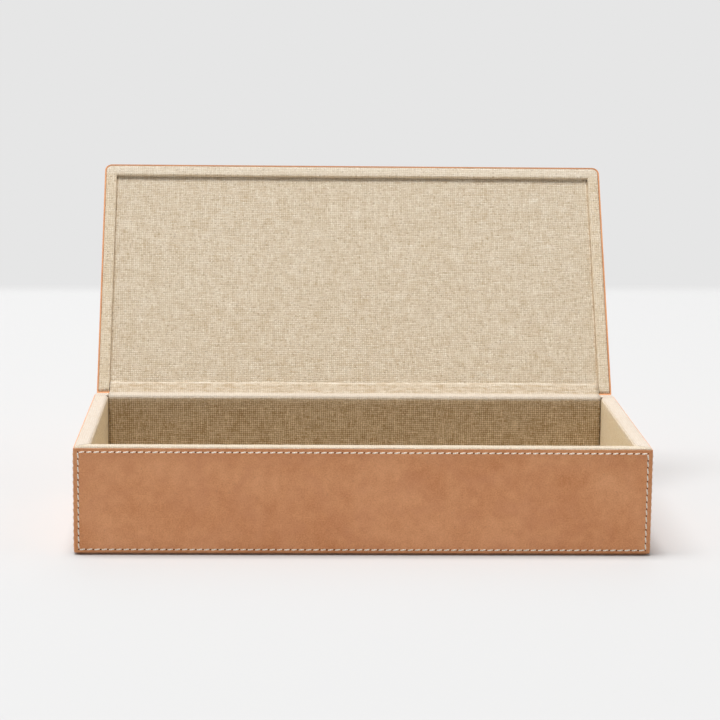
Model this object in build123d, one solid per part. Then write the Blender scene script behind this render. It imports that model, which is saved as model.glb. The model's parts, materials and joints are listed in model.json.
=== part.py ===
"""Stationery box: a long low box of boards, covered outside with natural leather
and lined with linen, with a flat lid on a leather and linen hinge along its back.

Millimetres. +Z is up, +X is the box's right as seen from its front, and the front
looks towards -Y. The origin is the middle of the underside, on the table.
The lid is stored standing open, held by its linen hinge, as it is shown in use.
"""
import os
from math import radians, tan

from build123d import *

# ---- the box as a whole ----
BOX_LENGTH = 356.0  # left to right, over the leather
BOX_DEPTH = 178.0  # front to back, over the leather
BOX_HEIGHT = 68.0  # table to the top of the linen rim
CORNER_R = 1.2  # upright corners of the leather

# ---- sheets and boards ----
LEATHER_T = 1.2  # leather on the walls
LINEN_T = 0.6  # book linen
GLUE_T = 0.05  # glue line between a board and its covering
FELT_T = 1.0  # brown felt under the box
WALL_BOARD_T = 7.9
BASE_BOARD_T = 6.0
CARD_T = 1.2  # card inside the loose linen panels

# ---- rim of the walls ----
RIM_INNER_R = 2.6  # linen rolling over to the inside
RIM_OUTER_R = 1.2
RIM_PROUD = 1.2  # linen showing above the leather's cut edge
LINEN_TURN_IN = 12.0  # linen glued down outside, under the leather

# ---- underside ----
LEATHER_TURN_IN = 14.0  # leather folded under the base board
LEATHER_BEND_R = 1.4  # outside of that fold
FELT_INSET = 1.5  # felt's edge back from the leather
FELT_CORNER_R = 3.0

# ---- floor panel ----
FLOOR_CLEARANCE = 0.3  # round the loose panel, to the wall linings

# ---- lid ----
LID_SIDE_INSET = 1.3  # lid narrower than the box, each side
LID_FRONT_INSET = 1.0
LID_BOARD_T = 5.0
LID_LEATHER_T = 1.0
LID_CORNER_R = 5.0  # front corners, seen from above
LID_EDGE_R = 1.5  # leather rolling over the top edges
LID_EDGE_SETBACK = 0.4  # leather's cut edge behind the linen face
LID_REST_GAP = 0.3  # nap between the closed lid and the rim
BORDER_W = 8.6  # raised border with its leather edge
BORDER_H = 4.8  # border face to the lid board
BORDER_EDGE_R = 0.9  # linen rolling over the border's edges
PANEL_CLEARANCE = 0.4  # round the lid's linen panel
PANEL_EDGE_R = 0.5  # linen panels, along the edges of the face
PANEL_CORNER_R = 1.5  # linen panels, seen from above
PANEL_HINGE_MARGIN = 9.0  # hinge line to the panel's lower edge

# ---- hinge ----
LID_OPEN_DEG = 123.5  # closed to open
SPINE_T = 0.8  # leather thinned where it folds
SPINE_ON_BACK = 8.0  # spine leather down the back of the box
SPINE_ON_LID = 6.0  # spine leather up the lid's back edge
HINGE_LINEN_SLOPE = 8.5  # degrees, linen rising from the rim to the lid
HINGE_LINEN_FLAT = 0.5  # flat on the lid, below the panel
HINGE_LINEN_SIDE_GAP = 0.3  # to the side walls' linings
HINGE_LINEN_END_GAP = 0.3  # to the panel's lower edge

# ---- levels and planes that follow ----
HALF_X = BOX_LENGTH / 2
HALF_Y = BOX_DEPTH / 2
UNDER_LEATHER = LEATHER_T + GLUE_T  # leather's face to the board behind it
UNDER_LINEN = LINEN_T + GLUE_T
SKIVED_LEATHER_T = LEATHER_T - UNDER_LINEN  # over the linen turn-in
WALL_T = UNDER_LEATHER + WALL_BOARD_T + UNDER_LINEN
TURN_IN_Z = FELT_T + GLUE_T  # underside of the folded leather
BASE_Z = TURN_IN_Z + UNDER_LEATHER
FLOOR_Z = BASE_Z + BASE_BOARD_T
BOARD_TOP_Z = BOX_HEIGHT - UNDER_LINEN
LEATHER_TOP_Z = BOX_HEIGHT - RIM_PROUD
LINING_Z = FLOOR_Z + GLUE_T
SPINE_FOOT_Z = BOX_HEIGHT - SPINE_ON_BACK
PANEL_T = CARD_T + UNDER_LINEN
INNER_X = HALF_X - WALL_T
INNER_Y = HALF_Y - WALL_T

# ---- the closed lid ----
LID_HALF_X = HALF_X - LID_SIDE_INSET
LID_FRONT_Y = LID_FRONT_INSET - HALF_Y
LID_FACE_Z = BOX_HEIGHT + LID_REST_GAP
LID_BOARD_Z = LID_FACE_Z + BORDER_H
LID_UNDER_LEATHER = LID_LEATHER_T + GLUE_T
LID_TOP_Z = LID_BOARD_Z + LID_BOARD_T + LID_UNDER_LEATHER
LID_LEATHER_FOOT_Z = LID_FACE_Z + LID_EDGE_SETBACK
LID_BACK_Y = HALF_Y - SPINE_T - GLUE_T  # back end of the lid's boards
SPINE_TOP_Z = BOX_HEIGHT + SPINE_ON_LID
RECESS_X = LID_HALF_X - BORDER_W
RECESS_FRONT_Y = LID_FRONT_Y + BORDER_W
PANEL_BACK_Y = HALF_Y - PANEL_HINGE_MARGIN

HINGE_AXIS = Axis((0, HALF_Y, BOX_HEIGHT), (1, 0, 0))


# ---- small helpers ----
def block(x, y, z):
    """A box between two values along each axis."""
    size = (x[1] - x[0], y[1] - y[0], z[1] - z[0])
    return Pos((x[0] + x[1]) / 2, (y[0] + y[1]) / 2, (z[0] + z[1]) / 2) * Box(*size)


def long_edges(shape, axis):
    return shape.edges().filter_by(axis)


def moved_sideways(points, distance):
    """An open row of points, moved to its right by a distance, corners kept sharp."""
    runs = [(Vector(*b) - Vector(*a)).normalized() for a, b in zip(points, points[1:])]
    sides = [Vector(run.Y, -run.X) for run in runs]
    result = [Vector(*points[0]) + sides[0] * distance]
    for point, before, after in zip(points[1:-1], sides, sides[1:]):
        between = (before + after).normalized()
        result.append(Vector(*point) + between * (distance / between.dot(before)))
    result.append(Vector(*points[-1]) + sides[-1] * distance)
    return [(p.X, p.Y) for p in result]


def sheet_section(points, radii, thickness, turns_right):
    """Section of a bent sheet. The points are its outer face, and the sheet lies to
    their right. turns_right says for each corner whether the row turns that way."""
    inner = moved_sideways(points, thickness)
    inner_radii = [r - thickness if right else r + thickness for r, right in zip(radii, turns_right)]
    outer_line = FilletPolyline(*points, radius=radii)
    inner_line = FilletPolyline(*inner, radius=inner_radii)
    ends = [Line(points[0], inner[0]), Line(points[-1], inner[-1])]
    return make_face(outer_line.edges() + inner_line.edges() + ends)


def along_x(section, half_length):
    """A section drawn in (y, z), carried along X to both sides of the middle."""
    return Pos(-half_length, 0, 0) * extrude(Plane.YZ * section, half_length * 2)


def wall_run(section, length, mitre_start=True, mitre_end=True):
    """A section drawn in (inward from the leather's face, z), carried along one wall.
    A mitred end is cut back at 45 degrees from the upright corner of the box."""
    run = along_x(section, length / 2)
    reach = LEATHER_TURN_IN + WALL_T
    start = reach if mitre_start else 0
    end = reach if mitre_end else 0
    plan = Polygon(
        (-length / 2, 0), (length / 2, 0), (length / 2 - end, reach), (start - length / 2, reach), align=None
    )
    return run & extrude(plan, BOX_HEIGHT)


# Where the runs above go: onto the front, back, left and right of the box.
ON_FRONT = Pos(0, -HALF_Y, 0)
ON_BACK = Pos(0, HALF_Y, 0) * Rot(0, 0, 180)
ON_LEFT = Pos(-HALF_X, 0, 0) * Rot(0, 0, -90)
ON_RIGHT = Pos(HALF_X, 0, 0) * Rot(0, 0, 90)


# ---- box: boards ----
def base_board():
    """The walls stand on it, and its lower edges are eased for the folded leather."""
    x = HALF_X - UNDER_LEATHER
    y = HALF_Y - UNDER_LEATHER
    board = block((-x, x), (-y, y), (BASE_Z, FLOOR_Z))
    return fillet(board.edges().group_by(Axis.Z)[0], LEATHER_BEND_R - UNDER_LEATHER)


def wall_board(half_length):
    """Upright board, its top edges eased for the linen."""
    inner = UNDER_LEATHER + WALL_BOARD_T
    top = [(UNDER_LEATHER, FLOOR_Z), (UNDER_LEATHER, BOARD_TOP_Z), (inner, BOARD_TOP_Z), (inner, FLOOR_Z)]
    eased = FilletPolyline(*top, radius=[RIM_OUTER_R - UNDER_LINEN, RIM_INNER_R - UNDER_LINEN])
    return along_x(make_face(eased.edges() + [Line(top[-1], top[0])]), half_length)


def long_wall_board():
    """The front and back boards run the whole length, with the tops of their ends
    eased too. The end boards stand between them."""
    half_length = HALF_X - UNDER_LEATHER
    space = block((-half_length, half_length), (0, WALL_T), (FLOOR_Z, BOARD_TOP_Z))
    end_tops = long_edges(space, Axis.Y).group_by(Axis.Z)[-1]
    return wall_board(half_length) & fillet(end_tops, RIM_OUTER_R - UNDER_LINEN)


# ---- box: leather ----
def wall_leather(length, top_z, over_linen=True):
    """One leather panel: up the wall, folded under the base and mitred at its corners.
    Over a linen turn-in it is thinned, so that its outside stays flat."""
    points = [(LEATHER_TURN_IN, TURN_IN_Z), (0, TURN_IN_Z), (0, top_z)]
    section = sheet_section(points, [LEATHER_BEND_R], LEATHER_T, [True])
    if over_linen:
        skived = Rectangle(LEATHER_T, LINEN_TURN_IN, align=(Align.MIN, Align.MIN))
        section -= Pos(SKIVED_LEATHER_T, BOX_HEIGHT - LINEN_TURN_IN - GLUE_T) * skived
    return wall_run(section, length) & rounded_corners(length)


def rounded_corners(length):
    """Space over one wall and the base, with the box's two upright corners rounded."""
    space = block((-length / 2, length / 2), (0, BOX_LENGTH), (0, BOX_HEIGHT))
    return fillet(long_edges(space, Axis.Z).group_by(Axis.Y)[0], CORNER_R)


def back_leather():
    """The back panel stops below the rim, where the spine leather takes over."""
    return wall_leather(BOX_LENGTH, SPINE_FOOT_Z - GLUE_T, over_linen=False)


def base_felt():
    x = HALF_X - FELT_INSET
    y = HALF_Y - FELT_INSET
    return fillet(long_edges(block((-x, x), (-y, y), (0, FELT_T)), Axis.Z), FELT_CORNER_R)


# ---- box: linen ----
def lining_section():
    """Linen up the inside, over the rim and down under the leather's top edge."""
    outside = LEATHER_T - LINEN_T
    points = [
        (outside, BOX_HEIGHT - LINEN_TURN_IN),
        (outside, BOX_HEIGHT),
        (WALL_T, BOX_HEIGHT),
        (WALL_T, LINING_Z),
    ]
    return sheet_section(points, [RIM_OUTER_R, RIM_INNER_R], LINEN_T, [True, True])


def front_lining():
    return wall_run(lining_section(), BOX_LENGTH)


def right_lining():
    """Side wall linen, drawn as a run whose far end is the back of the box. Mitred at
    the front. At the back its flat rim runs on, over the end of the back board."""
    run = wall_run(lining_section(), BOX_DEPTH, mitre_end=False)
    board_face = INNER_Y + UNDER_LINEN
    board_back = HALF_Y - UNDER_LEATHER
    rolled = block((board_face, HALF_Y), (WALL_T - RIM_INNER_R, WALL_T), (0, BOX_HEIGHT))
    behind = block((board_back, HALF_Y), (0, WALL_T), (0, BOX_HEIGHT))
    rim = block((board_face, board_back), (RIM_OUTER_R, WALL_T), (BOX_HEIGHT - LINEN_T, BOX_HEIGHT))
    return run - rolled - behind + rim


def left_lining():
    return mirror(ON_RIGHT * right_lining(), Plane.YZ)


def back_lining():
    """Upright linen on the back board, up to where the hinge linen rolls over."""
    x = INNER_X - GLUE_T
    return block((-x, x), (INNER_Y, INNER_Y + LINEN_T), (LINING_Z, BOX_HEIGHT - RIM_INNER_R - GLUE_T))


def card_in_linen(x, y, z, face_up):
    """A loose panel that fills the given space: a card, and the linen that is drawn
    over its face and its edges."""

    def panel(inset):
        low = z[0] if face_up else z[0] + inset
        high = z[1] - inset if face_up else z[1]
        solid = block((x[0] + inset, x[1] - inset), (y[0] + inset, y[1] - inset), (low, high))
        return fillet(long_edges(solid, Axis.Z), PANEL_CORNER_R - inset)

    whole = panel(0)
    face = whole.edges().group_by(Axis.Z)[-1 if face_up else 0]
    return panel(UNDER_LINEN), fillet(face, PANEL_EDGE_R) - panel(LINEN_T)


def floor_panel():
    x = INNER_X - FLOOR_CLEARANCE
    y = INNER_Y - FLOOR_CLEARANCE
    return card_in_linen((-x, x), (-y, y), (LINING_Z, LINING_Z + PANEL_T), face_up=True)


# ---- lid, drawn closed ----
def lid_outline(inset, back_y, z):
    """The lid seen from above, its front and sides drawn in by inset, with the two
    front corners round."""
    x = LID_HALF_X - inset
    solid = block((-x, x), (LID_FRONT_Y + inset, back_y), z)
    return fillet(long_edges(solid, Axis.Z).group_by(Axis.Y)[0], LID_CORNER_R - inset)


def lid_leather():
    """Leather over the lid's top and down its edges, open below. Down its back edge it
    stops where the spine leather takes over."""
    skin = lid_outline(0, HALF_Y, (LID_LEATHER_FOOT_Z, LID_TOP_Z))
    skin = fillet(skin.edges().group_by(Axis.Z)[-1], LID_EDGE_R)
    inside = lid_outline(LID_LEATHER_T, HALF_Y - SPINE_T, (LID_LEATHER_FOOT_Z, LID_TOP_Z - LID_LEATHER_T))
    spine = block((-LID_HALF_X, LID_HALF_X), (LID_BACK_Y, HALF_Y), (LID_LEATHER_FOOT_Z, SPINE_TOP_Z + GLUE_T))
    return skin - inside - spine


def lid_board():
    """Board under the leather, its top edges eased for it."""
    board = lid_outline(LID_UNDER_LEATHER, LID_BACK_Y, (LID_BOARD_Z, LID_BOARD_Z + LID_BOARD_T))
    return fillet(board.edges().group_by(Axis.Z)[-1], LID_EDGE_R - LID_LEATHER_T)


def border(inset):
    """Raised border round the front and sides of the lid's inside, drawn in by inset
    from its face and its upright sides."""
    frame = lid_outline(LID_UNDER_LEATHER + inset, LID_BACK_Y - inset, (LID_FACE_Z + inset, LID_BOARD_Z))
    x = RECESS_X + inset
    return frame - block((-x, x), (RECESS_FRONT_Y - inset, HALF_Y), (LID_FACE_Z, LID_BOARD_Z))


def border_bars():
    """The front bar runs the whole width, and the side bars butt against it."""
    bars = border(UNDER_LINEN)
    joint_y = RECESS_FRONT_Y - UNDER_LINEN
    height = (LID_FACE_Z, LID_BOARD_Z)
    front = bars & block((-HALF_X, HALF_X), (-HALF_Y, joint_y), height)
    left = bars & block((-HALF_X, 0), (joint_y, HALF_Y), height)
    right = bars & block((0, HALF_X), (joint_y, HALF_Y), height)
    return front, left, right


def border_linen():
    """One linen covers the three bars and rolls over their edges."""
    whole = border(0)
    return fillet(whole.edges().group_by(Axis.Z)[0], BORDER_EDGE_R) - border(LINEN_T)


def lid_panel():
    x = RECESS_X - PANEL_CLEARANCE
    y = (RECESS_FRONT_Y + PANEL_CLEARANCE, PANEL_BACK_Y)
    high_z = LID_BOARD_Z - GLUE_T
    return card_in_linen((-x, x), y, (high_z - PANEL_T, high_z), face_up=False)


# ---- hinge, drawn with the lid open ----
def opened(shape):
    """From the closed lid's place to where its hinge holds it open."""
    return shape.rotate(HINGE_AXIS, -LID_OPEN_DEG)


def opened_point(y, z):
    """The same, for a point of a section in (y, z)."""
    turned = Vector(y - HALF_Y, z - BOX_HEIGHT).rotate(Axis.Z, -LID_OPEN_DEG)
    return (HALF_Y + turned.X, BOX_HEIGHT + turned.Y)


def spine_leather():
    """Leather across the fold: flat on the back board, thinned at the fold, and up the
    lid's back edge. Below the rim it is as wide as the box, and above as the lid."""
    fold = [
        (HALF_Y - LEATHER_T, SPINE_FOOT_Z),
        (HALF_Y, SPINE_FOOT_Z),
        (HALF_Y, BOX_HEIGHT),
        opened_point(HALF_Y, SPINE_TOP_Z),
        opened_point(HALF_Y - SPINE_T, SPINE_TOP_Z),
        opened_point(HALF_Y - SPINE_T, BOX_HEIGHT),
        (HALF_Y - SPINE_T, BOX_HEIGHT),
        (HALF_Y - SPINE_T, LEATHER_TOP_Z),
        (HALF_Y - LEATHER_T, LEATHER_TOP_Z),
    ]
    strip = Polygon((0, SPINE_FOOT_Z), (LEATHER_T, SPINE_FOOT_Z), (LEATHER_T, LEATHER_TOP_Z), (0, LEATHER_TOP_Z), align=None)
    on_box = ON_BACK * (wall_run(strip, BOX_LENGTH) & rounded_corners(BOX_LENGTH))
    return along_x(Polygon(*fold, align=None), LID_HALF_X) + on_box


def hinge_linen():
    """Linen that holds the open lid: it rolls out over the inside edge of the back
    wall, rises to the lid and turns up along it, to the panel's lower edge."""
    face_z = LID_BOARD_Z - UNDER_LINEN
    on_lid = Vector(*opened_point(PANEL_BACK_Y + HINGE_LINEN_END_GAP, face_z))
    down_lid = (Vector(*opened_point(HALF_Y, face_z)) - on_lid).normalized()
    rim_edge = Vector(INNER_Y, BOX_HEIGHT)
    rise = tan(radians(HINGE_LINEN_SLOPE))
    above_slope = on_lid.Y - rim_edge.Y - rise * (on_lid.X - rim_edge.X)
    to_corner = above_slope / (rise * down_lid.X - down_lid.Y)
    corner = on_lid + down_lid * to_corner
    turn = (on_lid - corner).get_angle(corner - rim_edge)
    bend_r = (to_corner - HINGE_LINEN_FLAT) / tan(radians(turn / 2))
    points = [
        (INNER_Y, BOX_HEIGHT - RIM_INNER_R),
        (rim_edge.X, rim_edge.Y),
        (corner.X, corner.Y),
        (on_lid.X, on_lid.Y),
    ]
    section = sheet_section(points, [RIM_INNER_R, bend_r], LINEN_T, [True, False])
    return along_x(section, INNER_X - HINGE_LINEN_SIDE_GAP)


# ---- build ----
def main():
    floor_card, floor_linen = floor_panel()
    lid_panel_card, lid_panel_linen = lid_panel()
    border_front_bar, border_left_bar, border_right_bar = border_bars()
    box = {
        "base_board": base_board(),
        "front_board": ON_FRONT * long_wall_board(),
        "back_board": ON_BACK * long_wall_board(),
        "left_board": ON_LEFT * wall_board(INNER_Y + UNDER_LINEN),
        "right_board": ON_RIGHT * wall_board(INNER_Y + UNDER_LINEN),
        "base_felt": base_felt(),
        "front_leather": ON_FRONT * wall_leather(BOX_LENGTH, LEATHER_TOP_Z),
        "back_leather": ON_BACK * back_leather(),
        "left_leather": ON_LEFT * wall_leather(BOX_DEPTH, LEATHER_TOP_Z),
        "right_leather": ON_RIGHT * wall_leather(BOX_DEPTH, LEATHER_TOP_Z),
        "front_lining": ON_FRONT * front_lining(),
        "left_lining": left_lining(),
        "right_lining": ON_RIGHT * right_lining(),
        "back_lining": back_lining(),
        "floor_card": floor_card,
        "floor_linen": floor_linen,
        "spine_leather": spine_leather(),
        "hinge_linen": hinge_linen(),
    }
    lid = {
        "lid_leather": lid_leather(),
        "lid_board": lid_board(),
        "border_front_bar": border_front_bar,
        "border_left_bar": border_left_bar,
        "border_right_bar": border_right_bar,
        "border_linen": border_linen(),
        "lid_panel_card": lid_panel_card,
        "lid_panel_linen": lid_panel_linen,
    }
    os.makedirs("parts", exist_ok=True)
    for name, shape in box.items():
        export_step(shape, f"parts/{name}.step")
    for name, shape in lid.items():
        export_step(opened(shape), f"parts/{name}.step")


if __name__ == "__main__":
    main()
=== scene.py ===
"""Looks of the stationery box: natural leather drawn over boards, book linen inside,
cream stitching, and a lid that its leather and linen hinge holds open.

Shapes are in millimetres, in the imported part's frame. What belongs to the lid is laid
out closed and then turned open, as in the part's source.
"""

import json
import math

import bpy
from mathutils import Matrix, Vector, noise


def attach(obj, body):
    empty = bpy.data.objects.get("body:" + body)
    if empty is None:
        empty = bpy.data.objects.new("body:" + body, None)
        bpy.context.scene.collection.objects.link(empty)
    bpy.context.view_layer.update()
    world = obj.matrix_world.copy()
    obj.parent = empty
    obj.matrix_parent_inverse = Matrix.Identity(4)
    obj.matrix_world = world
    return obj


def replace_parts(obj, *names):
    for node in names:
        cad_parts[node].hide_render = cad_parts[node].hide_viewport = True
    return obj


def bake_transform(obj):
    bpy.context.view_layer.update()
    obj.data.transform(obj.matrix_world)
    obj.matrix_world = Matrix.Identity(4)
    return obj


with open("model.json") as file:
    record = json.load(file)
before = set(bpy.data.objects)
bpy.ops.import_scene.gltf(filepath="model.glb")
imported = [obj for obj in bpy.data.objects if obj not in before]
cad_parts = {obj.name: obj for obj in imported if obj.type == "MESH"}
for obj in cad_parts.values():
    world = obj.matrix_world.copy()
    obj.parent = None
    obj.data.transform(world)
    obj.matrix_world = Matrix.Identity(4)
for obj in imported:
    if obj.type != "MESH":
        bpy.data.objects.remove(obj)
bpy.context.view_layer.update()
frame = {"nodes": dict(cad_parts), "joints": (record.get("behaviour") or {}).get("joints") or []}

MM = 0.001
LID_OPEN = math.radians(frame["joints"][0]["range_deg"][1])
HINGE = Vector(frame["joints"][0]["pos_m"]) / MM
LINEN_T = 0.6


# ---- places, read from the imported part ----
def turned(point, angle):
    """A point turned about the hinge: by LID_OPEN to close, and by -LID_OPEN to open."""
    return Matrix.Rotation(angle, 3, "X") @ (Vector(point) - HINGE) + HINGE


def reach(node, closed=False):
    """Lowest and highest corner of a node, or of a lid node with the lid closed."""
    points = [v.co / MM for v in frame["nodes"][node].data.vertices]
    if closed:
        points = [turned(p, LID_OPEN) for p in points]
    return Vector(map(min, zip(*points))), Vector(map(max, zip(*points)))


HALF_X = reach("right_leather")[1].x
HALF_Y = HINGE.y
RIM_Z = HINGE.z
LEATHER_TOP_Z = reach("front_leather")[1].z
LEATHER_FOOT_Z = reach("front_leather")[0].z
OUTER_LINEN_Y = -reach("front_lining")[0].y
INNER_X = -reach("left_lining")[1].x
INNER_Y = -reach("front_lining")[1].y
BACK_BOARD_Y = reach("back_board")[1].y
LINING_Z = reach("back_lining")[0].z
SPINE_FOOT_Z = reach("spine_leather")[0].z

LID_LOW, LID_HIGH = reach("lid_leather", closed=True)
BORDER_LOW, BORDER_HIGH = reach("border_linen", closed=True)
BORDER_W = LID_HIGH.x + reach("border_left_bar")[1].x + LINEN_T
PANEL_LOW, PANEL_HIGH = reach("lid_panel_linen", closed=True)
FLOOR_LOW, FLOOR_HIGH = reach("floor_linen")

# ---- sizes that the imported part's boxes don't give ----
SPINE_T = 0.8
LINEN_TURN_IN = 12.0
CORNER_R = 1.2
RIM_OUTER_R = 1.2
RIM_INNER_R = 2.6
BORDER_EDGE_R = 0.9
BORDER_INNER_EDGE_R = 0.65
LID_CORNER_R = 5.0
PANEL_CORNER_R = 1.5
PANEL_EDGE_R = 0.5
SPINE_ON_LID = 6.0
LINEN_RISE = math.radians(3.5)
LINEN_BEND_R = 3.0
LINEN_FLAT_TO_Y = HALF_Y - 0.9
LINEN_LAP = 0.3
LINEN_PROUD = 1.1
LINEN_TUCK = 1.7
LINEN_ROLL_R = 1.0
LINEN_END_GAP = 0.3
FOLD_R = 0.35
STITCH_PITCH = 4.5
STITCH_INSET = 3.0


# ---- laying out points ----
def steps(low, high, size):
    """Even steps from low to high, none longer than size."""
    count = max(1, math.ceil(abs(high - low) / size - 1e-6))
    return [low + (high - low) * i / count for i in range(count + 1)]


def straight(start, end, step):
    """Points along a straight run, without its start."""
    length = (end - start).length
    if length < 1e-6:
        return []
    return [start.lerp(end, at / length) for at in steps(0, length, step)[1:]]


def rounded_line(corners, radii, step=4.0, arc_steps=6):
    """Points along a flat line with rounded corners, and the length up to each."""
    corners = [Vector(c) for c in corners]
    points = [corners[0]]
    for before, corner, after, radius in zip(corners, corners[1:], corners[2:], radii):
        run = (corner - before).normalized()
        out = (after - corner).normalized()
        turn = math.atan2(run.x * out.y - run.y * out.x, run.dot(out))
        side = Vector((-run.y, run.x)) * math.copysign(1, turn)
        start = corner - run * radius * math.tan(abs(turn) / 2)
        points += straight(points[-1], start, step)
        for angle in steps(0, abs(turn), abs(turn) / arc_steps)[1:]:
            points.append(start + side * radius * (1 - math.cos(angle)) + run * radius * math.sin(angle))
    points += straight(points[-1], corners[-1], step)
    lengths = [0.0]
    for a, b in zip(points, points[1:]):
        lengths.append(lengths[-1] + (b - a).length)
    return points, lengths


def wander(x, y, z, size):
    """A smooth wander between -1 and 1 whose swells are about size apart."""
    return noise.noise(Vector((x, y, z)) / size)


# ---- making pieces ----
def piece_of(name, points, faces, flat, material, slot_name):
    """A mesh piece. flat holds, for each point, where it lay on the flat sheet."""
    mesh = bpy.data.meshes.new(name)
    mesh.from_pydata([Vector(p) * MM for p in points], [], faces)
    layer = mesh.uv_layers.new(name="flat")
    for loop, at in zip(mesh.loops, layer.data):
        at.uv = Vector(flat[loop.vertex_index][:2]) * MM
    mesh.shade_smooth()
    mesh.materials.append(material)
    made = bpy.data.objects.new(name, mesh)
    bpy.context.scene.collection.objects.link(made)
    return made if slot_name else made


def sheet(name, rows, flat, thickness, material, slot_name, uneven=None):
    """A sheet whose outer face runs through rows of points. It faces the way that
    turns from a row's course towards its own order, and uneven lifts its points."""
    across = len(rows[0])
    starts = [i * across + j for i in range(len(rows) - 1) for j in range(across - 1)]
    faces = [(k, k + across, k + across + 1, k + 1) for k in starts]
    points = [Vector(p) for row in rows for p in row]
    made = piece_of(name, points, faces, [p for row in flat for p in row], material, slot_name)
    if uneven:
        normals = [v.normal.copy() for v in made.data.vertices]
        for v, normal, point in zip(made.data.vertices, normals, points):
            v.co = (point + normal * uneven(point, *divmod(v.index, across))) * MM
    weld = made.modifiers.new("weld", "WELD")
    weld.merge_threshold = 0.002 * MM
    solid = made.modifiers.new("thickness", "SOLIDIFY")
    solid.thickness = thickness * MM
    solid.offset = -1
    solid.use_even_offset = True
    return made


# ---- materials ----
def colour(code):
    """An sRGB hex colour as the linear one that a socket takes."""
    parts = [int(code[i : i + 2], 16) / 255 for i in (1, 3, 5)]
    return [c / 12.92 if c <= 0.04045 else ((c + 0.055) / 1.055) ** 2.4 for c in parts] + [1.0]


def first(sockets):
    """The first socket that is in use."""
    return next(s for s in sockets if s.enabled)


def add(tree, kind, inputs=(), **settings):
    """Adds a node with its settings. Its inputs, in their order or by name, are plain
    values, sockets, or nodes whose first output is meant."""
    made = tree.nodes.new("ShaderNode" + kind)
    for name, value in settings.items():
        setattr(made, name, value)
    open_inputs = [s for s in made.inputs if s.enabled]
    if isinstance(inputs, dict):
        pairs = [(made.inputs[name], value) for name, value in inputs.items()]
    else:
        pairs = list(zip(open_inputs, inputs))
    for socket, value in pairs:
        if isinstance(value, bpy.types.Node):
            value = first(value.outputs)
        if isinstance(value, bpy.types.NodeSocket):
            tree.links.new(value, socket)
        elif value is not None:
            socket.default_value = value
    return made


def calc(tree, operation, *inputs):
    """One step of arithmetic."""
    return add(tree, "Math", inputs, operation=operation)


def weighed(tree, *terms):
    """The sum of terms, each a value and its weight."""
    total = 0.0
    for value, weight in terms:
        total = calc(tree, "MULTIPLY_ADD", value, weight, total)
    return total


def away_from(tree, value, middle):
    """How far a value lies from middle, on either side."""
    return calc(tree, "ABSOLUTE", calc(tree, "SUBTRACT", value, middle))


def ramp(tree, value, low, high, at_low=0.0, at_high=1.0, smooth=False):
    """Goes from at_low to at_high while the value goes from low to high."""
    course = "SMOOTHSTEP" if smooth else "LINEAR"
    return add(tree, "MapRange", [value, low, high, at_low, at_high], interpolation_type=course)


def mixed(tree, amount, under, over, way="MIX"):
    """Lays amount of one colour over another. Each is a hex code or a node."""
    ends = [colour(c) if isinstance(c, str) else c for c in (under, over)]
    return add(tree, "Mix", [amount, *ends], data_type="RGBA", blend_type=way)


def mottling(tree, where, size, detail, flat=False, **more):
    """Noise whose blots are about size across. More detail frays them."""
    named = {"Vector": where, "Scale": 1 / size, "Detail": detail, **more}
    return add(tree, "TexNoise", named, noise_dimensions="2D" if flat else "3D")


def streaks(tree, along, across, length, width):
    """Noise on the flat sheet in streaks of about length by width."""
    near = calc(tree, "MULTIPLY", along, 1 / length)
    far = calc(tree, "MULTIPLY", across, 1 / width)
    return mottling(tree, add(tree, "CombineXYZ", [near, far]), 1.0, 2.0, flat=True)


def new_material(name):
    material = bpy.data.materials.new(name)
    material.use_nodes = True
    material.node_tree.nodes.clear()
    return material, material.node_tree


def finish_surface(tree, relief, depth, strength, **inputs):
    """The shader itself, with a relief that is depth millimetres deep."""
    bump = add(tree, "Bump", {"Height": relief, "Distance": depth * MM, "Strength": strength})
    named = {name.replace("_", " "): value for name, value in inputs.items()}
    shader = add(tree, "BsdfPrincipled", {"Normal": bump, **named})
    add(tree, "OutputMaterial", {"Surface": shader})


def where_on(tree, flat=False, closed=False):
    """Millimetres: on the flat sheet, or in the part's frame, or with the lid closed."""
    place = add(tree, "UVMap", uv_map="flat") if flat else add(tree, "TexCoord").outputs["Object"]
    if closed:
        turn = {"Vector": place, "Center": HINGE * MM, "Angle": LID_OPEN}
        place = add(tree, "VectorRotate", turn, rotation_type="X_AXIS")
    return add(tree, "VectorMath", {"Vector": place, "Scale": 1 / MM}, operation="SCALE")


# ---- linen ----
# Book linen has yarns every 0.6 mm. They lie wider here, so that the weave and the dark
# gaps between the yarns show.
YARN = 1.4
# How far along a yarn its tone changes, and its fibres' length and width.
YARN_TONE_LENGTH = 9.0
FIBRE = (5 / 3, 0.2)


def laid_by_hand(tree):
    """Places on the flat cloth. Its yarns are never quite straight: they sway widely
    over 60 mm and a little over 3.5 mm."""
    flat = where_on(tree, flat=True)
    bent = flat
    for size, sway in ((60, 3.0), (3.5, 0.8)):
        shift = mottling(tree, flat, size, 1.0, flat=True).outputs["Color"]
        shift = add(tree, "VectorMath", {"Vector": shift, "Scale": sway}, operation="SCALE")
        bent = add(tree, "VectorMath", [bent, shift], operation="ADD")
    return bent


def swing(tree, along):
    """Goes from -1 to 1 and back over two yarns."""
    return calc(tree, "SINE", calc(tree, "MULTIPLY", along, math.pi / YARN))


def bow(tree, across, along):
    """A yarn's rise where it is on top: steep at its sides and soft at its ends."""
    side = calc(tree, "POWER", calc(tree, "ABSOLUTE", swing(tree, across)), 0.9)
    end = calc(tree, "POWER", calc(tree, "ABSOLUTE", swing(tree, along)), 0.2)
    return calc(tree, "MULTIPLY", side, end)


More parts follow.
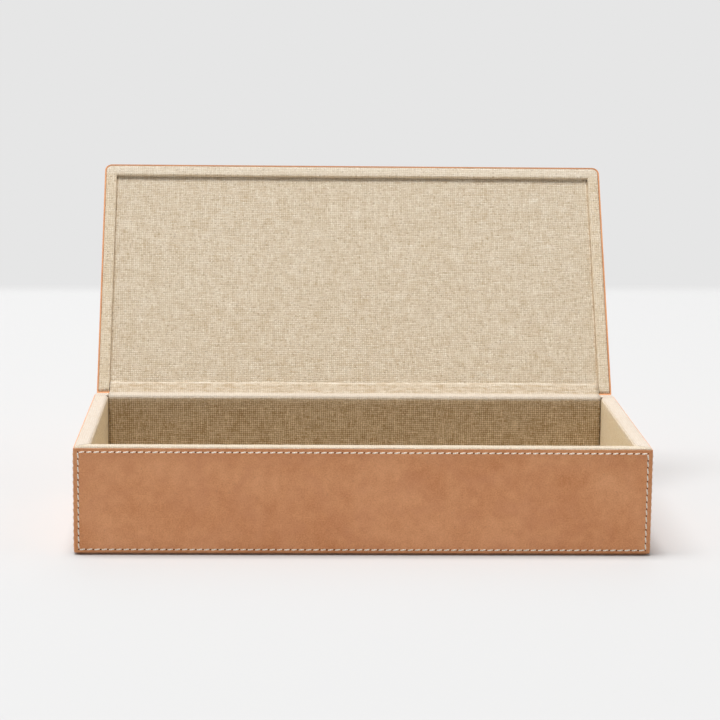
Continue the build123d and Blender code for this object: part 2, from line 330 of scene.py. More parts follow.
def yarn_tone(tree, across, along, start):
    """Each yarn has a tone of its own, which changes slowly along it."""
    which = calc(tree, "FLOOR", calc(tree, "MULTIPLY", across, 1 / YARN))
    near = calc(tree, "MULTIPLY", along, 1 / YARN_TONE_LENGTH)
    far = calc(tree, "MULTIPLY_ADD", which, 5.37, start)
    return mottling(tree, add(tree, "CombineXYZ", [near, far]), 1.0, 2.0, flat=True)


def plain_weave(tree, place):
    """How far the yarns stand out, their fibres, the warp's tones, and the tone of
    whichever yarn is on top."""
    parts = add(tree, "SeparateXYZ", [place]).outputs
    u, v = parts["X"], parts["Y"]
    crossing = calc(tree, "MULTIPLY", swing(tree, u), swing(tree, v))
    warp_on_top = ramp(tree, crossing, -0.3, 0.3, 0.2, 0.8, smooth=True)
    mostly = ramp(tree, crossing, -0.15, 0.15, smooth=True)
    crown = add(tree, "Mix", [mostly, bow(tree, v, u), bow(tree, u, v)])
    fibre = add(tree, "Mix", [mostly, streaks(tree, u, v, *FIBRE), streaks(tree, v, u, *FIBRE)])
    # Here and there the yarns were pressed flat and filled with paste.
    open_weave = ramp(tree, mottling(tree, place, 3.5, 2.0, flat=True), 0.35, 0.6, 0.55, 1.0)
    crown = add(tree, "Mix", [open_weave, 0.5, crown])
    warp = yarn_tone(tree, u, v, 3.1)
    weft = yarn_tone(tree, v, u, 71.7)
    return crown, fibre, warp, add(tree, "Mix", [warp_on_top, weft, warp])


def paint_light_and_tone_bands(tree, base, length, bands):
    """Bands of tone laid over the cloth: painted highlights, painted light and painted shade, and on the
    lid's border a paler front bar. Each band lies between two lengths up the cut cloth, and has the tone
    it has there and how much of it."""
    for low, high, tone, amount in bands:
        half = (high - low) / 2
        pale = ramp(tree, away_from(tree, length, (low + high) / 2), half + 1, half - 1, 0.0, amount)
        base = mixed(tree, pale, base, tone)
    return base


def painted_deep_shade(tree, base, length, deep, crown, yarn):
    """Painted shade deep in the box. Between the two lengths of deep the cloth is darkened and browned,
    and the gaps between its yarns are painted darker still."""
    yarn_gap_shade = ramp(tree, weighed(tree, (crown, 1.0), (yarn, 0.8)), 0.4, 1.2)
    brown = mixed(tree, yarn_gap_shade, "#b8aa91", "#fcfaf4")
    return mixed(tree, ramp(tree, length, *deep), base, brown, "MULTIPLY")


def loosely_creased(tree, base, length, loose, place):
    """Painted shade of soft creases along the cloth, beyond the length from which it lies loose."""
    parts = add(tree, "SeparateXYZ", [place]).outputs
    crease = ramp(tree, streaks(tree, parts["X"], parts["Y"], 8, 2.2), 0.3, 0.6)
    crease_shade = mixed(tree, crease, "#eee6dc", "#ffffff")
    return mixed(tree, ramp(tree, length, loose - 2, loose + 2), base, crease_shade, "MULTIPLY")


def book_linen(name, tones=("#bca078", "#f7ebd8"), light_and_tone_bands=(), deep=None, loose=None):
    """Natural flax, undyed and plain woven, pasted down. Its yarns are uneven, so it
    shows cream and brown streaks both ways, slubs, flecks of straw and a matt nap.
    Lengths up the cut cloth say three things. They say where bands of tone lie over it: painted
    highlights, painted light and painted shade, and on the lid's border a paler front bar. They say
    where painted shade darkens it deep in the box. And they say from where on it lies loose, with
    painted shade in its creases."""
    material, tree = new_material(name)
    place = laid_by_hand(tree)
    crown, fibre, warp, yarn = plain_weave(tree, place)
    cloud = mottling(tree, place, 25, 3.0, flat=True)
    tone = weighed(tree, (yarn, 0.78), (cloud, 0.06), (crown, 0.46), (fibre, 0.5))
    base = mixed(tree, ramp(tree, tone, 0.56, 1.34), *tones)
    fleck = ramp(tree, mottling(tree, place, 1.6, 0.0, flat=True), 0.7, 0.8, 0.0, 0.35)
    base = mixed(tree, fleck, base, "#9a7d56")
    length = add(tree, "SeparateXYZ", [where_on(tree, flat=True)]).outputs["Y"]
    # Painted shade deep in the box.
    if deep:
        base = painted_deep_shade(tree, base, length, deep, crown, yarn)
    # Bands of tone, mostly painted highlight, painted light and painted shade.
    base = paint_light_and_tone_bands(tree, base, length, light_and_tone_bands)
    # Painted shade in the creases where it lies loose.
    if loose:
        base = loosely_creased(tree, base, length, loose, place)
    finish_surface(
        tree,
        weighed(tree, (crown, 1.0), (warp, 0.4), (fibre, 0.3)),
        depth=0.45,
        strength=0.7,
        Base_Color=base,
        Roughness=0.9,
        Specular_IOR_Level=0.1,
        Sheen_Weight=0.1,
        Sheen_Roughness=0.5,
        Sheen_Tint=colour("#f6e2c4"),
    )
    return material


# ---- leather, thread, felt and board ----
def clouded_hide(tree, where):
    """The hide's colour and its relief: clouds, patches, pores, grain and small healed
    marks."""
    cloud = mottling(tree, where, 38, 3.0, Roughness=0.55)
    mottle = mottling(tree, where, 7, 4.0, Roughness=0.6)
    pores = mottling(tree, where, 0.9, 2.0)
    tone = weighed(tree, (cloud, 1.0), (mottle, 0.65), (pores, 1.0))
    base = mixed(tree, ramp(tree, tone, 0.97, 1.66), "#d98e58", "#f6b27f")
    patch = mottling(tree, where, 22, 2.0, Distortion=0.8)
    base = mixed(tree, ramp(tree, patch, 0.45, 0.7, 0.0, 0.35), base, "#dd9468")
    # Healed marks are drawn 1 mm wide, to show.
    marks = mottling(tree, where, 2.2, 1.0)
    base = mixed(tree, ramp(tree, marks, 0.68, 0.78, 0.0, 0.15), base, "#a8683c")
    # Grain cells are 0.3 mm wide on the hide. They are drawn 1.1 mm wide to show.
    grain = add(tree, "TexVoronoi", {"Vector": where, "Scale": 1 / 1.1}, feature="DISTANCE_TO_EDGE")
    relief = weighed(tree, (ramp(tree, grain, 0.0, 0.25), 1.0), (pores, 0.6))
    return base, relief, ramp(tree, mottle, 0.0, 1.0, 0.46, 0.66)


def tanned_leather(name, edges=(), flat=False, closed=False, handled=None):
    """Cowhide, vegetable tanned and left natural, with a smooth oiled grain. It is
    clouded from the hide, and burnished a little darker in its margins, where the
    stitches draw a groove. edges holds, for each axis of a panel, its letter, middle and
    half width. handled is the Y of an edge that fingers have darkened."""
    material, tree = new_material(name)
    where = where_on(tree, flat, closed)
    base, relief, roughness = clouded_hide(tree, where)
    parts = add(tree, "SeparateXYZ", [where]).outputs
    inside = None
    for axis, middle, half in edges:
        depth = calc(tree, "SUBTRACT", half, away_from(tree, parts[axis], middle))
        inside = calc(tree, "MINIMUM", inside, depth) if inside else depth
    if inside:
        margin = ramp(tree, inside, 3.4, 0.4, 0.0, 0.2, smooth=True)
        base = mixed(tree, margin, base, "#a96a3a")
        groove = ramp(tree, away_from(tree, inside, STITCH_INSET), 0.2, 1.3, -3.0, 0.0, smooth=True)
        relief = calc(tree, "ADD", relief, groove)
    if handled is not None:
        darkened = ramp(tree, parts["Y"], handled + 0.5, handled + 2.5, 0.45, 0.0)
        base = mixed(tree, darkened, base, "#a0714a")
    finish_surface(
        tree,
        relief,
        depth=0.08,
        strength=0.5,
        Base_Color=base,
        Roughness=roughness,
        Specular_IOR_Level=0.4,
    )
    return material


def waxed_thread():
    """Cream linen thread of two plies, twisted and waxed. Its plies are painted paler on their crowns,
    as a painted highlight.
    """
    material, tree = new_material("waxed_linen_thread")
    # This scale lays a ply across the thread every 1.5 mm.
    at = {"Vector": add(tree, "UVMap", uv_map="flat"), "Scale": 420.0, "Distortion": 0.4}
    twist = add(tree, "TexWave", at, bands_direction="DIAGONAL")
    base = mixed(tree, twist, "#efdfc6", "#fffaf0")
    finish_surface(tree, twist, depth=0.12, strength=0.6, Base_Color=base, Roughness=0.6)
    return material


def awl_hole():
    """Where the awl went through: the hide's raw fibres, burnished dark, together with the painted shade
    of the hole's depth.
    """
    material, tree = new_material("awl_pricked_hide")
    fibres = mottling(tree, where_on(tree), 1 / 3, 2.0)
    base = mixed(tree, fibres, "#3a2213", "#63402a")
    finish_surface(tree, fibres, depth=0.2, strength=1.0, Base_Color=base, Roughness=0.9)
    return material


def wool_felt():
    """Brown wool felt, pressed and cut: matted fibres that run every way."""
    material, tree = new_material("pressed_wool_felt")
    where = where_on(tree)
    cloud = mottling(tree, where, 5, 2.0)
    fibres = mottling(tree, where, 1 / 1.4, 6.0, Roughness=0.7, Distortion=1.5)
    tone = weighed(tree, (fibres, 1.0), (cloud, 0.5))
    finish_surface(
        tree,
        fibres,
        depth=0.4,
        strength=0.7,
        Base_Color=mixed(tree, ramp(tree, tone, 0.5, 1.0), "#94705a", "#c4a084"),
        Roughness=0.95,
        Sheen_Weight=0.4,
        Sheen_Roughness=0.6,
    )
    return material


def straw_board():
    """Strawboard, pressed from straw pulp: brown, with short pale and dark fibres."""
    material, tree = new_material("pressed_strawboard")
    fibres = mottling(tree, where_on(tree), 1.25, 5.0, Roughness=0.65, Distortion=0.8)
    base = mixed(tree, ramp(tree, fibres, 0.3, 0.7), "#6e563c", "#9c8060")
    finish_surface(tree, fibres, depth=0.1, strength=0.5, Base_Color=base, Roughness=0.9)
    return material


def span(axis, low, high):
    """A panel's axis, middle and half width."""
    return axis, (low + high) / 2, (high - low) / 2


WALL_UPRIGHT = span("Z", LEATHER_FOOT_Z, LEATHER_TOP_Z)
BACK_UPRIGHT = span("Z", LEATHER_FOOT_Z, SPINE_FOOT_Z)
LID_DEEP = span("Y", LID_LOW.y, LID_HIGH.y)
LINEN = book_linen("plain_woven_flax", ("#c0a57e", "#f9f0df"))
# Up the walls' cut cloth, the rim comes after the turn-in and the inside face after the rim. The walls'
# cloth is a paler copy of the linen, as painted light. Its rims carry a painted highlight, paler and
# greyer,
# # and its inside faces more painted light.
LIT_WALL_TONES = ("#e0c69e", "#fff9ee")
WALL_FACE_PAINTED_LIGHT = (22.5, 70.0, "#fff0cc", 0.55)
FRONT_RIM_HIGHLIGHT = (11.0, 20.5, "#d1c2ad", 0.65)
END_RIM_HIGHLIGHT = (11.0, 20.5, "#cec2b8", 0.65)
FRONT_LINEN = book_linen("flax_over_the_front", LIT_WALL_TONES, [FRONT_RIM_HIGHLIGHT, WALL_FACE_PAINTED_LIGHT])
END_LINEN = book_linen("flax_over_the_ends", LIT_WALL_TONES, [END_RIM_HIGHLIGHT, WALL_FACE_PAINTED_LIGHT])
# The border's lengths are the closed lid's Y, and its front bar is paler.
FRONT_BORDER = (LID_LOW.y - 6, LID_LOW.y + BORDER_W - 1, "#fffaf2", 0.2)
BORDER_LINEN = book_linen("flax_over_the_lid_border", ("#ccb48e", "#fcf0dd"), [FRONT_BORDER])
# All of the floor's cloth is beyond these lengths, so painted shade darkens and browns it everywhere.
FLOOR_LINEN = book_linen("flax_on_the_floor", deep=(-1000, -999))
THREAD = waxed_thread()
HOLE = awl_hole()
FOLD_LEATHER = tanned_leather("cowhide_at_the_fold", flat=True)


# ---- the part's own solids that keep their shape ----
def dress(material, *solids):
    """Gives solids of the part a material."""
    for solid in solids:
        frame["nodes"][solid].data.materials.clear()
        frame["nodes"][solid].data.materials.append(material)


END_SPANS = [("Y", 0, HALF_Y), WALL_UPRIGHT]
LID_SPANS = [("X", 0, LID_HIGH.x), LID_DEEP]
BOARDS = ["base_board", "front_board", "back_board", "left_board", "right_board", "lid_board"]
CARDS = ["floor_card", "lid_panel_card"]
BARS = ["border_front_bar", "border_left_bar", "border_right_bar"]
dress(tanned_leather("cowhide_on_end_walls", END_SPANS), "left_leather", "right_leather")
dress(straw_board(), *BOARDS, *CARDS, *BARS)
dress(tanned_leather("cowhide_on_front", [("X", 0, HALF_X), WALL_UPRIGHT]), "front_leather")
dress(tanned_leather("cowhide_on_back", [("X", 0, HALF_X), BACK_UPRIGHT]), "back_leather")
dress(tanned_leather("cowhide_on_lid", LID_SPANS, closed=True, handled=LID_LOW.y), "lid_leather")
dress(wool_felt(), "base_felt")


# ---- linen over the front and end walls ----
LINING_CORNERS = [
    (HALF_Y - OUTER_LINEN_Y, RIM_Z - LINEN_TURN_IN),
    (HALF_Y - OUTER_LINEN_Y, RIM_Z),
    (HALF_Y - INNER_Y, RIM_Z),
    (HALF_Y - INNER_Y, LINING_Z),
]
LINING, LINING_LENGTHS = rounded_line(LINING_CORNERS, [RIM_OUTER_R, RIM_INNER_R])


def pasted(point, i, j):
    """Linen pasted over a rim is a little hollow and full. Under the leather it is flat."""
    if LINING[j].x < RIM_OUTER_R and LINING[j].y < LEATHER_TOP_Z + 0.4:
        return 0.0
    return 0.09 * wander(*point, 9.0) + 0.05 * wander(*point, 3.0)


def wall_linen(name, node, half_length, place, material, far_end=None):
    """Linen up the inside of one wall, over its rim and down under the leather, mitred
    at the corners. place puts (along the wall, inward, up) into the box's frame. Where
    far_end is given, that end isn't mitred but reaches it."""
    rows = []
    flat = []
    for share in steps(-1, 1, 3.0 / half_length):
        row = []
        for point in LINING:
            start = point.x - half_length
            end = -start if far_end is None else far_end
            row.append((start + (share + 1) / 2 * (end - start), point.x, point.y))
        rows.append([place(*p) for p in row])
        flat.append([(p[0], length) for p, length in zip(row, LINING_LENGTHS)])
    made = sheet(name, rows, flat, LINEN_T, material, "natural_linen", pasted)
    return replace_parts(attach(made, "box"), node)


front_linen = wall_linen(
    "front_wall_linen",
    "front_lining",
    HALF_X,
    lambda along, inward, up: (along, inward - HALF_Y, up),
    FRONT_LINEN,
)


def end_wall_linen(side, name):
    """The end walls' linen stops at the back wall's. Its rim runs on over the end of the
    back board and down outside, as a small piece of its own."""
    made = wall_linen(
        name + "_wall_linen",
        name + "_lining",
        HALF_Y,
        lambda along, inward, up: (side * (HALF_X - inward), along, up),
        END_LINEN,
        far_end=INNER_Y + LINEN_T,
    )
    profile, lengths = rounded_line(LINING_CORNERS[:3], [RIM_OUTER_R], step=2.0)
    run = steps(INNER_Y + LINEN_T, BACK_BOARD_Y, 2.0)
    rows = [[(side * (HALF_X - inward), y, up) for inward, up in profile] for y in run]
    flat = [[(y, length) for length in lengths] for y in run]
    rim_end = sheet(name + "_rim_end_linen", rows, flat, LINEN_T, END_LINEN, "natural_linen")
    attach(rim_end, "box")
    if side < 0:
        made.data.flip_normals()
        rim_end.data.flip_normals()


end_wall_linen(1, "right")
end_wall_linen(-1, "left")


# ---- linen up the back wall and over the hinge, to the lid ----
def hinge_corners():
    """The back linen from the floor up, over the rim and up to the lid. Its end is
    turned in, so it stands a little proud of the panel's edge, which it covers."""
    end_y = PANEL_HIGH.y - LINEN_LAP
    face_z = PANEL_LOW.z - LINEN_PROUD
    on_lid = turned((0, end_y, face_z), -LID_OPEN).yz
    tucked = turned((0, end_y, face_z + LINEN_TUCK), -LID_OPEN).yz
    rim = Vector((INNER_Y, RIM_Z))
    corner = (LINEN_FLAT_TO_Y, RIM_Z + math.tan(LINEN_RISE) * (LINEN_FLAT_TO_Y - INNER_Y))
    return [(INNER_Y, LINING_Z), rim, corner, on_lid, tucked]


HINGE_RADII = [RIM_INNER_R, LINEN_BEND_R, LINEN_ROLL_R]
HINGE_LINE, HINGE_LENGTHS = rounded_line(hinge_corners(), HINGE_RADII, step=1.5, arc_steps=8)
# Lengths up this cloth: to the rim, and to where it rolls in at the lid's panel.
TO_RIM = RIM_Z - LINING_Z
CREST = HINGE_LENGTHS[-1] - LINEN_TUCK
BACK_LINEN = book_linen(
    "flax_over_the_hinge",
    light_and_tone_bands=[
        # Painted highlight where the cloth turns over the rim, paler and greyer.
        (TO_RIM - 2, TO_RIM + 8, "#d0c6ba", 0.65),
        # Painted shade on the slope up to the lid, a little darker and greyer.
        (TO_RIM + 8, CREST - 1.4, "#d0c4b2", 0.3),
        # Painted highlight on the roll where it turns in at the lid's panel.
        (CREST - 1.4, CREST + 1, "#f2e8d8", 0.75),
    ],
    # Painted shade down the back wall, below the rim.
    deep=(TO_RIM - 1, TO_RIM - 6),
    loose=TO_RIM + 7,
)


def creased(point, i, j):
    """Over the hinge the linen lies loose, in long soft creases beside the fold."""
    x, y, z = point
    loose = min(1.0, max(0.0, (y - INNER_Y - 3.0) / 4.0))
    long_crease = wander(x / 9, y, z, 2.2)
    return 0.07 * wander(x, y, z, 6.0) + loose * (0.2 * long_crease + 0.12 * wander(x, y, z, 14.0))


def back_linen():
    """One cut of linen, from the floor to the lid, curved over the hinge."""
    half = INNER_X - LINEN_END_GAP
    rows = []
    flat = []
    for x in steps(-half, half, 3.0):
        rows.append([(x, p.x, p.y) for p in HINGE_LINE])
        flat.append([(x, length) for length in HINGE_LENGTHS])
    made = sheet("back_and_hinge_linen", rows, flat, LINEN_T, BACK_LINEN, "natural_linen", creased)
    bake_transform(made)
    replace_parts(made, "back_lining", "hinge_linen")


back_linen()


# ---- leather across the fold, behind ----
def fold_leather():
    """Down the back of the box and up the lid's back edge. Below the rim it goes round
    the box's corners, and above it is as wide as the lid."""
    lid_end = turned((0, HALF_Y, RIM_Z + SPINE_ON_LID), -LID_OPEN).yz
    line, lengths = rounded_line([(HALF_Y, SPINE_FOOT_Z), (HALF_Y, RIM_Z), lid_end], [FOLD_R], step=1.0)
    round_corner = [math.radians(a) for a in (9, 18, 27, 36, 45)]
    straight_x = HALF_X - CORNER_R
    rows = []
    flat = []
    middle = [(x, 0.0) for x in steps(-straight_x, straight_x, 4.0)]
    right = [(straight_x + CORNER_R * math.sin(a), CORNER_R * (1 - math.cos(a))) for a in round_corner]
    left = [(-x, back) for x, back in reversed(right)]
    for x, back in left + middle + right:
        row = []
        for point in line:
            on_box = point.y <= LEATHER_TOP_Z and point.x <= HALF_Y + 0.01
            wide = x if on_box else x / HALF_X * LID_HIGH.x
            row.append((wide, point.x - (back if on_box else 0.0), point.y))
        rows.append(row)
        flat.append([(x, length) for length in lengths])
    made = sheet("folding_leather", rows, flat, SPINE_T, FOLD_LEATHER, "natural_leather")
    made.data.flip_normals()
    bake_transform(made)
    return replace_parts(made, "spine_leather")


fold_leather()


# ---- linen panels of the floor and the lid ----
def ring(half_x, low_y, high_y, corner_r, inset):
    """A rounded rectangle drawn in by inset, always with the same count of points."""
    half_x = half_x - inset
    low_y = low_y + inset
    high_y = high_y - inset
    radius = min(max(corner_r - inset, 0.5), (high_y - low_y) / 2)
    middles = [
        (half_x - radius, high_y - radius, 0),
        (radius - half_x, high_y - radius, 90),
        (radius - half_x, low_y + radius, 180),
        (half_x - radius, low_y + radius, 270),
    ]
    points = []
    for k, (x, y, first_angle) in enumerate(middles):
        arc = [math.radians(a) for a in steps(first_angle, first_angle + 90, 22.5)]
        points += [Vector((x + radius * math.cos(a), y + radius * math.sin(a))) for a in arc]
        next_x, next_y, next_angle = middles[(k + 1) % 4]
        start = math.radians(next_angle)
        target = Vector((next_x + radius * math.cos(start), next_y + radius * math.sin(start)))
        # More points lie along the long sides than along the short ones.
        count = 84 if k % 2 == 0 else 40
        points += [points[-1].lerp(target, t) for t in steps(0, 1, 1 / count)[1:-1]]
    return points + [points[0]]


def covered_card(name, node, low, high, face_up, linen, place=lambda p: p):
    """Linen drawn over a card: a flat, faintly cushioned face with soft edges. It is
    cut as large as the card's face and edges."""
    deep = high.z - low.z
    profile = [(0.0, deep), (0.0, deep / 2), (0.0, PANEL_EDGE_R)]
    for angle in (30, 60, 90):
        a = math.radians(angle)
        profile.append((PANEL_EDGE_R * (1 - math.cos(a)), PANEL_EDGE_R * (1 - math.sin(a))))
    profile += [(inset, 0.0) for inset in steps(PANEL_EDGE_R, (high.y - low.y) / 2, 4.0)[1:]]
    inner = profile[-1][0]
    runs = [math.dist(a, b) for a, b in zip(profile, profile[1:])]
    to_inner = [sum(runs[k:]) for k in range(len(profile))]
    rows = []
    flat = []
    for (inset, depth), length in zip(profile, to_inner):
        line = ring(high.x, low.y, high.y, PANEL_CORNER_R, inset)
        row = []
        for x, y in line:
            cushion = 0.0 if depth else 0.12 * wander(x, y, 0, 22.0) + 0.05 * wander(x, y, 0, 7.0) - 0.06
            z = high.z - depth + cushion if face_up else low.z + depth - cushion
            row.append(place((x, y, z)))
        rows.append(row)
        flat.append(ring(high.x, low.y, high.y, PANEL_CORNER_R, inner - length))
    made = sheet(name, rows, flat, LINEN_T, linen, "natural_linen")
    if not face_up:
        made.data.flip_normals()
    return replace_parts(made, node)


floor_linen = covered_card("floor_panel_linen", "floor_linen", FLOOR_LOW, FLOOR_HIGH, True, FLOOR_LINEN)
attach(floor_linen, "box")
lid_linen = covered_card(
    "lid_panel_face_linen",
    "lid_panel_linen",
    PANEL_LOW,
    PANEL_HIGH,
    False,
    LINEN,
    lambda p: turned(p, -LID_OPEN),
)
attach(lid_linen, "lid")


# ---- linen over the lid's raised border ----
def border_line(inset):
    """Down one side of the lid, across its front and up the other, drawn in by inset."""
    x = LID_HIGH.x - inset
    y = LID_LOW.y + inset
    radius = max(LID_CORNER_R - inset, 0.4)
    count = math.ceil((BORDER_HIGH.y - LID_LOW.y - LID_CORNER_R) / 3.0)
    down = y + radius - BORDER_HIGH.y
    line = [Vector((-x, BORDER_HIGH.y + down * k / count)) for k in range(count)]
    for a in steps(180, 270, 15):
        a = math.radians(a)
        line.append(Vector((radius - x + radius * math.cos(a), y + radius + radius * math.sin(a))))
    across = [Vector((at * (x - radius), y)) for at in steps(-1, 1, 1 / 60)[1:-1]]
    mirrored = [Vector((-p.x, p.y)) for p in reversed(line)]
    return line + across + mirrored


def border_linen():
    """Linen over the bars' outer edge, face and inner edge."""
    corners = [
        (LID_HIGH.x - BORDER_HIGH.x, BORDER_HIGH.z),
        (LID_HIGH.x - BORDER_HIGH.x, BORDER_LOW.z),
        (BORDER_W, BORDER_LOW.z),
        (BORDER_W, BORDER_HIGH.z),
    ]
    profile, lengths = rounded_line(corners, [BORDER_EDGE_R, BORDER_INNER_EDGE_R], step=2.0, arc_steps=4)
    rows = []
    flat = []
    for inset, z in profile:
        line = border_line(inset)
        rows.append([turned((p.x, p.y, z), -LID_OPEN) for p in line])
        flat.append([(p.x, p.y + (BORDER_LOW.z - z)) for p in line])

    def stretched(point, i, j):
        return 0.06 * wander(*point, 8.0) + 0.04 * wander(*point, 3.0) - 0.03

    made = sheet("lid_border_linen", rows, flat, LINEN_T, BORDER_LINEN, "natural_linen", stretched)
    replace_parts(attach(made, "lid"), "border_linen")


border_linen()

# ---- stitching ----
THREAD_R = 0.45
THREAD_LENGTH = 3.5
THREAD_SLANT = math.radians(9)
THREAD_RISE = 0.28
THREAD_DIP = 0.6
HOLE_HALF = (0.9, 0.45)
HOLE_LIFT = 0.06
HOLE_SINK = 0.02
ROUND = steps(0, 2 * math.pi, math.pi / 4)[:-1]


def stitch(middle, along, outward):
    """One thread: it bows over the leather, thins to its ends and is a little flat."""
    across = outward.cross(along)
    uneven = 1 + 0.06 * wander(*middle, 2.0)
    points = []
    flat = []
    for t in steps(-1, 1, 1 / 3):
        rise = THREAD_RISE - THREAD_DIP * t**4
        bowed = middle + along * (t * uneven * THREAD_LENGTH / 2) + outward * rise
        r = THREAD_R * (1 - 0.25 * t * t)
        for a in ROUND:
            points.append(bowed + across * r * math.cos(a) + outward * 0.8 * r * math.sin(a))
            flat.append((t * THREAD_LENGTH / 2, a * THREAD_R))
    n = len(ROUND)
    faces = []
    for k in range(0, len(points) - n, n):
        for j in range(n):
            after = (j + 1) % n
            faces.append((k + j, k + after, k + n + after, k + n + j))
    faces.append(tuple(range(n - 1, -1, -1)))
    faces.append(tuple(range(len(points) - n, len(points))))
    return points, faces, flat


def awl_slit(middle, slit, outward):
    """One hole: a small slanted dark oval for the hole's fibres and its painted shade, a little raised
    in its middle to lie clear.
    """
    side = outward.cross(slit)
    points = [middle + outward * HOLE_LIFT]
    for a in ROUND:
        edge = slit * HOLE_HALF[0] * math.cos(a) + side * HOLE_HALF[1] * math.sin(a)
        points.append(middle + edge - outward * HOLE_SINK)
    n = len(ROUND)
    return points, [(0, 1 + j, 1 + (j + 1) % n) for j in range(n)]


def joined(parts):
    """One list of points and one of faces, from several parts that start with theirs."""
    points = []
    faces = []
    for part in parts:
        faces += [tuple(len(points) + k for k in face) for face in part[1]]
        points += part[0]
    return points, faces


def stitching(name, rows, outward, body, place=lambda p: p):
    """Thread and awl holes along rows of (start, end). Each stitch comes up from one
    hole, lies with a slight slant, and goes down into the next."""
    outward = Vector(outward)
    slant = Matrix.Rotation(THREAD_SLANT, 3, outward)
    threads = []
    slits = []
    for start, end in rows:
        start, end = Vector(start), Vector(end)
        count = round((end - start).length / STITCH_PITCH)
        pitch = (end - start) / count
        along = slant @ pitch.normalized()
        threads += [stitch(start + pitch * (k + 0.5), along, outward) for k in range(count)]
        # Rows round a panel share the holes at its corners.
        holes = count + 1 if len(rows) == 1 else count
        slits += [awl_slit(start + pitch * k, slant @ along, outward) for k in range(holes)]
    points, faces = joined(threads)
    flat = [at for thread in threads for at in thread[2]]
    made = piece_of(name + "_thread", [place(p) for p in points], faces, flat, THREAD, None)
    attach(made, body)
    points, faces = joined(slits)
    points = [place(p) for p in points]
    made = piece_of(name + "_awl_holes", points, faces, points, HOLE, "natural_leather")
    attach(made, body)


def closed_rows(corners):
    """The four rows round a panel, from its corners in order."""
    return list(zip(corners, corners[1:] + corners[:1]))


ROW_LOW_Z = LEATHER_FOOT_Z + 2.4
ROW_HIGH_Z = LEATHER_TOP_Z - 2.2
BACK_ROW_HIGH_Z = SPINE_FOOT_Z - 2.8
FOLD_ROW_Z = SPINE_FOOT_Z + 2.4
LID_ROW_INSET = 4.0
ROW_X = HALF_X - STITCH_INSET
ROW_Y = HALF_Y - STITCH_INSET


def wall_stitching(name, half, face, outward, top_z):
    """Rows all round one wall, up to top_z. face puts (along, up) on its outside."""
    corners = [face(-half, ROW_LOW_Z), face(half, ROW_LOW_Z), face(half, top_z), face(-half, top_z)]
    stitching(name, closed_rows(corners), outward, "box")


wall_stitching("front", ROW_X, lambda along, up: (along, -HALF_Y, up), (0, -1, 0), ROW_HIGH_Z)
wall_stitching("back", ROW_X, lambda along, up: (-along, HALF_Y, up), (0, 1, 0), BACK_ROW_HIGH_Z)
wall_stitching("right", ROW_Y, lambda along, up: (HALF_X, along, up), (1, 0, 0), ROW_HIGH_Z)
wall_stitching("left", ROW_Y, lambda along, up: (-HALF_X, -along, up), (-1, 0, 0), ROW_HIGH_Z)
fold_row = ((ROW_X, HALF_Y, FOLD_ROW_Z), (-ROW_X, HALF_Y, FOLD_ROW_Z))
stitching("fold", [fold_row], (0, 1, 0), "box")
lid_x = LID_HIGH.x - LID_ROW_INSET
lid_front, lid_back = LID_LOW.y + LID_ROW_INSET, LID_HIGH.y - LID_ROW_INSET
lid_ring = [(-lid_x, lid_front), (lid_x, lid_front), (lid_x, lid_back), (-lid_x, lid_back)]
lid_rows = closed_rows([(x, y, LID_HIGH.z) for x, y in lid_ring])
stitching("lid", lid_rows, (0, 0, 1), "lid", lambda p: turned(p, -LID_OPEN))

# ---- floor and light, in metres ----
FLOOR_HALF = 6
# The paper sweeps up from a line behind the box, which is turned a little.
SWEEP_TURN = 0.0397
SWEEP_FROM = 1.02
SWEEP_TO = 1.105
PAPER = "#e6e6e6"


def painted_floor():
    """A pale floor. What is swept up behind it is lit on its own."""
    mesh = bpy.data.meshes.new("floor")
    corners = [(-1, -1), (1, -1), (1, 1), (-1, 1)]
    mesh.from_pydata([(x * FLOOR_HALF, y * FLOOR_HALF, 0) for x, y in corners], [], [(0, 1, 2, 3)])
    floor = bpy.data.objects.new("floor", mesh)
    bpy.context.scene.collection.objects.link(floor)
    material, tree = new_material("painted_floor")
    place = add(tree, "TexCoord").outputs["Object"]
    back = (-math.sin(SWEEP_TURN), math.cos(SWEEP_TURN), 0)
    far = add(tree, "VectorMath", [place, back], operation="DOT_PRODUCT").outputs["Value"]
    behind = ramp(tree, far, SWEEP_FROM, SWEEP_TO, smooth=True)
    seen = add(tree, "LightPath").outputs["Is Camera Ray"]
    paint = add(tree, "BsdfDiffuse", {"Color": colour("#cdcdcd")})
    paper = add(tree, "Emission", {"Color": colour(PAPER)})
    both = add(tree, "MixShader", [calc(tree, "MULTIPLY", behind, seen), paint, paper])
    add(tree, "OutputMaterial", {"Surface": both})
    mesh.materials.append(material)


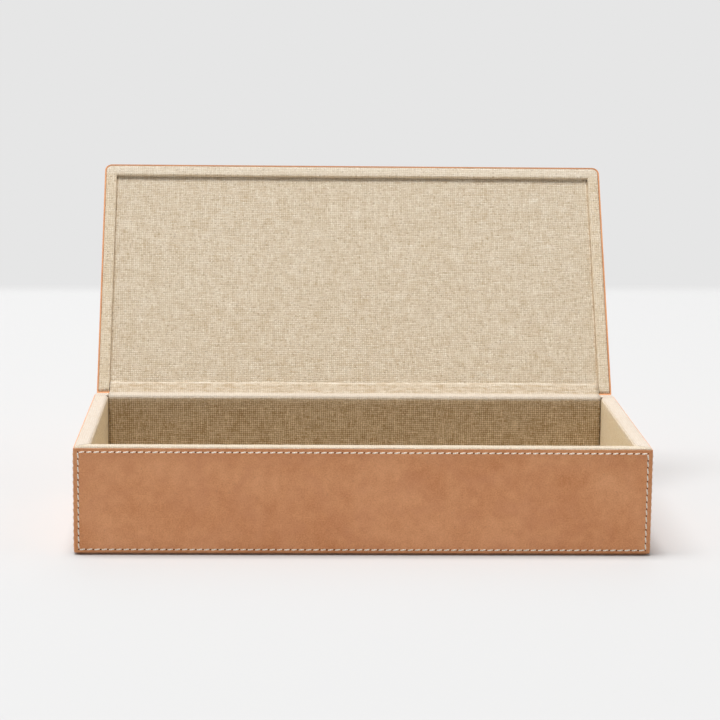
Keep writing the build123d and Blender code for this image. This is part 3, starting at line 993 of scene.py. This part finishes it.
def studio_room():
    """A dim white room. The camera and mirrored rays see pale paper instead."""
    world = bpy.data.worlds.new("studio")
    bpy.context.scene.world = world
    world.use_nodes = True
    tree = world.node_tree
    tree.nodes.clear()
    rays = add(tree, "LightPath").outputs
    seen = calc(tree, "MAXIMUM", rays["Is Camera Ray"], rays["Is Glossy Ray"])
    seen = calc(tree, "MAXIMUM", seen, rays["Is Transmission Ray"])
    room = add(tree, "Background", {"Color": colour("#ffffff"), "Strength": 0.12})
    backdrop = add(tree, "Background", {"Color": colour(PAPER), "Strength": 1.0})
    add(tree, "OutputWorld", {"Surface": add(tree, "MixShader", [seen, room, backdrop])})


def softbox(name, strength, size, distance, lean, turn):
    """A soft lamp that faces the box from afar. It leans from overhead, to the right
    before it is turned. strength is what it gives a surface that faces it."""
    lamp = bpy.data.objects.new(name, bpy.data.lights.new(name, "AREA"))
    lamp.data.shape = "RECTANGLE"
    lamp.data.size, lamp.data.size_y = size
    lamp.data.energy = math.pi * distance**2 * strength
    lamp.rotation_euler = (0, math.radians(lean), math.radians(turn))
    lamp.location = lamp.rotation_euler.to_matrix() @ Vector((0, 0, distance))
    lamp.visible_camera = False
    bpy.context.scene.collection.objects.link(lamp)


painted_floor()
studio_room()
softbox("overhead_softbox", 2.0, (2.2, 2.6), 8.0, 1.5, 178)
softbox("overhead_left_softbox", 1.75, (4.5, 2.6), 8.0, 14, 178)
softbox("right_softbox", 0.28, (4.0, 4.0), 6.0, 50, 0)
softbox("left_softbox", 0.25, (4.0, 4.0), 6.0, 50, 180)
softbox("back_softbox", 0.9, (8.0, 4.0), 6.0, 55, 90)
softbox("front_reflector", 0.25, (5.0, 0.35), 6.0, 88, 270)

# ---- camera ----
# Its place in metres, how far it looks aside, looks down and leans in radians, and its
# lens in millimetres.
CAMERA_AT = (-0.05400, -1.52055, 0.37172)
CAMERA_YAW = 0.03546
CAMERA_PITCH = 0.17231
CAMERA_ROLL = 0.01075
CAMERA_LENS = 119.42
camera = bpy.data.objects.new("camera", bpy.data.cameras.new("camera"))
camera.data.lens = CAMERA_LENS
camera.data.sensor_width = 36.0
camera.matrix_world = (
    Matrix.Translation(CAMERA_AT)
    @ Matrix.Rotation(-CAMERA_YAW, 4, "Z")
    @ Matrix.Rotation(math.pi / 2 - CAMERA_PITCH, 4, "X")
    @ Matrix.Rotation(CAMERA_ROLL, 4, "Z")
)
bpy.context.scene.collection.objects.link(camera)
bpy.context.scene.camera = camera
bpy.context.scene.view_settings.view_transform = "Standard"
